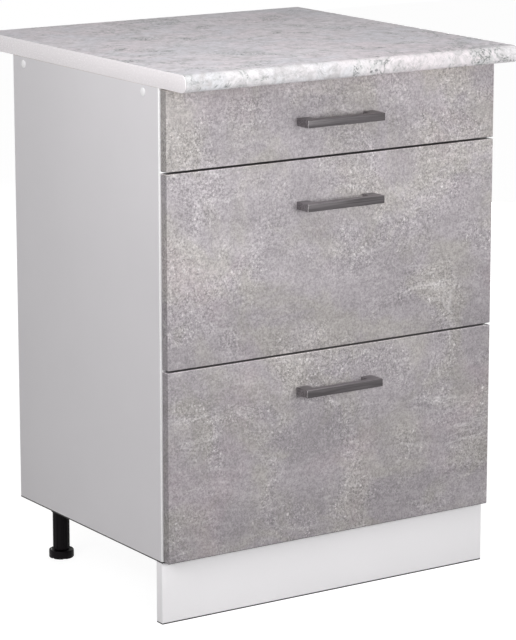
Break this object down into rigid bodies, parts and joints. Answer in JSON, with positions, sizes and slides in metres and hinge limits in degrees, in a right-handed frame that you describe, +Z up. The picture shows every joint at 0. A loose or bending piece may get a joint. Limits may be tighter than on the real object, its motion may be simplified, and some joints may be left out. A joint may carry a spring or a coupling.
{
  "type": "base cabinet with drawers",
  "caption": "Floor-standing kitchen base cabinet with drawers on roller runners, a laminate worktop with a rounded nose, bar handles and adjustable legs behind a clipped plinth.",
  "frame": {"origin": "on the floor, under the middle of the cabinet's box", "axes": "+Z up, -Y the side with the drawer fronts, X along the width, -X the left side seen from the front"},
  "size_m": [0.6032, 0.6, 0.838],
  "materials": {
    "stone_laminate": "chipboard with a satin laminate printed as pale grey veined stone",
    "end_band": "plain off-white edging band",
    "white_board": "chipboard with a smooth white melamine face",
    "plinth_board": "chipboard with a smooth white face",
    "concrete_front": "chipboard with a matt laminate printed as light grey concrete",
    "hardboard": "thin fibreboard, painted white on the inside",
    "graphite": "brushed, graphite coloured",
    "black_plastic": "moulded black",
    "white_plastic": "moulded white",
    "white_steel": "powder coated white sheet steel",
    "grey_nylon": "moulded grey nylon"
  },
  "bodies": {
    "carcass": {"worktop": "stone_laminate", "worktop_edging_left": "end_band", "worktop_edging_right": "end_band", "side_panel_left": "white_board", "side_panel_right": "white_board", "bottom_panel": "white_board", "top_rail_front": "white_board", "top_rail_rear": "white_board", "back_panel": "hardboard", "plinth": "plinth_board", "plinth_clip_left": "black_plastic", "plinth_clip_right": "black_plastic", "screw_cap_front_left": "white_plastic", "screw_cap_rear_left": "white_plastic", "screw_cap_front_right": "white_plastic", "screw_cap_rear_right": "white_plastic", "leg_front_left": "black_plastic", "leg_front_right": "black_plastic", "leg_rear_left": "black_plastic", "leg_rear_right": "black_plastic", "cabinet_runner_top_left": "white_steel", "cabinet_runner_top_right": "white_steel", "cabinet_runner_middle_left": "white_steel", "cabinet_runner_middle_right": "white_steel", "cabinet_runner_bottom_left": "white_steel", "cabinet_runner_bottom_right": "white_steel"},
    "foot_front_left": {"foot_front_left": "black_plastic"},
    "foot_front_right": {"foot_front_right": "black_plastic"},
    "foot_rear_left": {"foot_rear_left": "black_plastic"},
    "foot_rear_right": {"foot_rear_right": "black_plastic"},
    "drawer_top": {"drawer_front_top": "concrete_front", "handle_top": "graphite", "drawer_side_top_left": "white_steel", "drawer_side_top_right": "white_steel", "drawer_bottom_top": "white_board", "drawer_back_top": "white_board"},
    "drawer_middle": {"drawer_front_middle": "concrete_front", "handle_middle": "graphite", "drawer_side_middle_left": "white_steel", "drawer_side_middle_right": "white_steel", "drawer_bottom_middle": "white_board", "drawer_back_middle": "white_board"},
    "drawer_bottom": {"drawer_front_bottom": "concrete_front", "handle_bottom": "graphite", "drawer_side_bottom_left": "white_steel", "drawer_side_bottom_right": "white_steel", "drawer_bottom_bottom": "white_board", "drawer_back_bottom": "white_board"},
    "cabinet_roller_top_left": {"cabinet_roller_top_left": "grey_nylon"},
    "cabinet_roller_top_right": {"cabinet_roller_top_right": "grey_nylon"},
    "cabinet_roller_middle_left": {"cabinet_roller_middle_left": "grey_nylon"},
    "cabinet_roller_middle_right": {"cabinet_roller_middle_right": "grey_nylon"},
    "cabinet_roller_bottom_left": {"cabinet_roller_bottom_left": "grey_nylon"},
    "cabinet_roller_bottom_right": {"cabinet_roller_bottom_right": "grey_nylon"},
    "drawer_roller_top_left": {"drawer_roller_top_left": "grey_nylon"},
    "drawer_roller_top_right": {"drawer_roller_top_right": "grey_nylon"},
    "drawer_roller_middle_left": {"drawer_roller_middle_left": "grey_nylon"},
    "drawer_roller_middle_right": {"drawer_roller_middle_right": "grey_nylon"},
    "drawer_roller_bottom_left": {"drawer_roller_bottom_left": "grey_nylon"},
    "drawer_roller_bottom_right": {"drawer_roller_bottom_right": "grey_nylon"}
  },
  "joints": [
    {"name": "drawer_top_slide", "type": "slide", "parent": "carcass", "child": "drawer_top", "axis": [0, -1, 0], "range_m": [0, 0.3]},
    {"name": "drawer_middle_slide", "type": "slide", "parent": "carcass", "child": "drawer_middle", "axis": [0, -1, 0], "range_m": [0, 0.3]},
    {"name": "drawer_bottom_slide", "type": "slide", "parent": "carcass", "child": "drawer_bottom", "axis": [0, -1, 0], "range_m": [0, 0.3]},
    {"name": "cabinet_roller_top_left_spin", "type": "hinge", "parent": "carcass", "child": "cabinet_roller_top_left", "pos_m": [-0.278, -0.213, 0.714], "axis": [1, 0, 0], "range_deg": [0, 2149]},
    {"name": "cabinet_roller_top_right_spin", "type": "hinge", "parent": "carcass", "child": "cabinet_roller_top_right", "pos_m": [0.278, -0.213, 0.714], "axis": [1, 0, 0], "range_deg": [0, 2149]},
    {"name": "cabinet_roller_middle_left_spin", "type": "hinge", "parent": "carcass", "child": "cabinet_roller_middle_left", "pos_m": [-0.278, -0.213, 0.418], "axis": [1, 0, 0], "range_deg": [0, 2149]},
    {"name": "cabinet_roller_middle_right_spin", "type": "hinge", "parent": "carcass", "child": "cabinet_roller_middle_right", "pos_m": [0.278, -0.213, 0.418], "axis": [1, 0, 0], "range_deg": [0, 2149]},
    {"name": "cabinet_roller_bottom_left_spin", "type": "hinge", "parent": "carcass", "child": "cabinet_roller_bottom_left", "pos_m": [-0.278, -0.213, 0.122], "axis": [1, 0, 0], "range_deg": [0, 2149]},
    {"name": "cabinet_roller_bottom_right_spin", "type": "hinge", "parent": "carcass", "child": "cabinet_roller_bottom_right", "pos_m": [0.278, -0.213, 0.122], "axis": [1, 0, 0], "range_deg": [0, 2149]},
    {"name": "drawer_roller_top_left_spin", "type": "hinge", "parent": "drawer_top", "child": "drawer_roller_top_left", "pos_m": [-0.2773, 0.161, 0.7165], "axis": [1, 0, 0], "range_deg": [0, 2149]},
    {"name": "drawer_roller_top_right_spin", "type": "hinge", "parent": "drawer_top", "child": "drawer_roller_top_right", "pos_m": [0.2773, 0.161, 0.7165], "axis": [1, 0, 0], "range_deg": [0, 2149]},
    {"name": "drawer_roller_middle_left_spin", "type": "hinge", "parent": "drawer_middle", "child": "drawer_roller_middle_left", "pos_m": [-0.2773, 0.161, 0.4205], "axis": [1, 0, 0], "range_deg": [0, 2149]},
    {"name": "drawer_roller_middle_right_spin", "type": "hinge", "parent": "drawer_middle", "child": "drawer_roller_middle_right", "pos_m": [0.2773, 0.161, 0.4205], "axis": [1, 0, 0], "range_deg": [0, 2149]},
    {"name": "drawer_roller_bottom_left_spin", "type": "hinge", "parent": "drawer_bottom", "child": "drawer_roller_bottom_left", "pos_m": [-0.2773, 0.161, 0.1245], "axis": [1, 0, 0], "range_deg": [0, 2149]},
    {"name": "drawer_roller_bottom_right_spin", "type": "hinge", "parent": "drawer_bottom", "child": "drawer_roller_bottom_right", "pos_m": [0.2773, 0.161, 0.1245], "axis": [1, 0, 0], "range_deg": [0, 2149]},
    {"name": "foot_front_left_height", "type": "slide", "parent": "carcass", "child": "foot_front_left", "axis": [0, 0, -1], "range_m": [0, 0.02]},
    {"name": "foot_front_right_height", "type": "slide", "parent": "carcass", "child": "foot_front_right", "axis": [0, 0, -1], "range_m": [0, 0.02]},
    {"name": "foot_rear_left_height", "type": "slide", "parent": "carcass", "child": "foot_rear_left", "axis": [0, 0, -1], "range_m": [0, 0.02]},
    {"name": "foot_rear_right_height", "type": "slide", "parent": "carcass", "child": "foot_rear_right", "axis": [0, 0, -1], "range_m": [0, 0.02]}
  ],
  "couplings": [
    {"joint": "cabinet_roller_top_left_spin", "follows": "drawer_top_slide", "rad_per_m": 125},
    {"joint": "cabinet_roller_top_right_spin", "follows": "drawer_top_slide", "rad_per_m": 125},
    {"joint": "drawer_roller_top_left_spin", "follows": "drawer_top_slide", "rad_per_m": 125},
    {"joint": "drawer_roller_top_right_spin", "follows": "drawer_top_slide", "rad_per_m": 125},
    {"joint": "cabinet_roller_middle_left_spin", "follows": "drawer_middle_slide", "rad_per_m": 125},
    {"joint": "cabinet_roller_middle_right_spin", "follows": "drawer_middle_slide", "rad_per_m": 125},
    {"joint": "drawer_roller_middle_left_spin", "follows": "drawer_middle_slide", "rad_per_m": 125},
    {"joint": "drawer_roller_middle_right_spin", "follows": "drawer_middle_slide", "rad_per_m": 125},
    {"joint": "cabinet_roller_bottom_left_spin", "follows": "drawer_bottom_slide", "rad_per_m": 125},
    {"joint": "cabinet_roller_bottom_right_spin", "follows": "drawer_bottom_slide", "rad_per_m": 125},
    {"joint": "drawer_roller_bottom_left_spin", "follows": "drawer_bottom_slide", "rad_per_m": 125},
    {"joint": "drawer_roller_bottom_right_spin", "follows": "drawer_bottom_slide", "rad_per_m": 125}
  ]
}
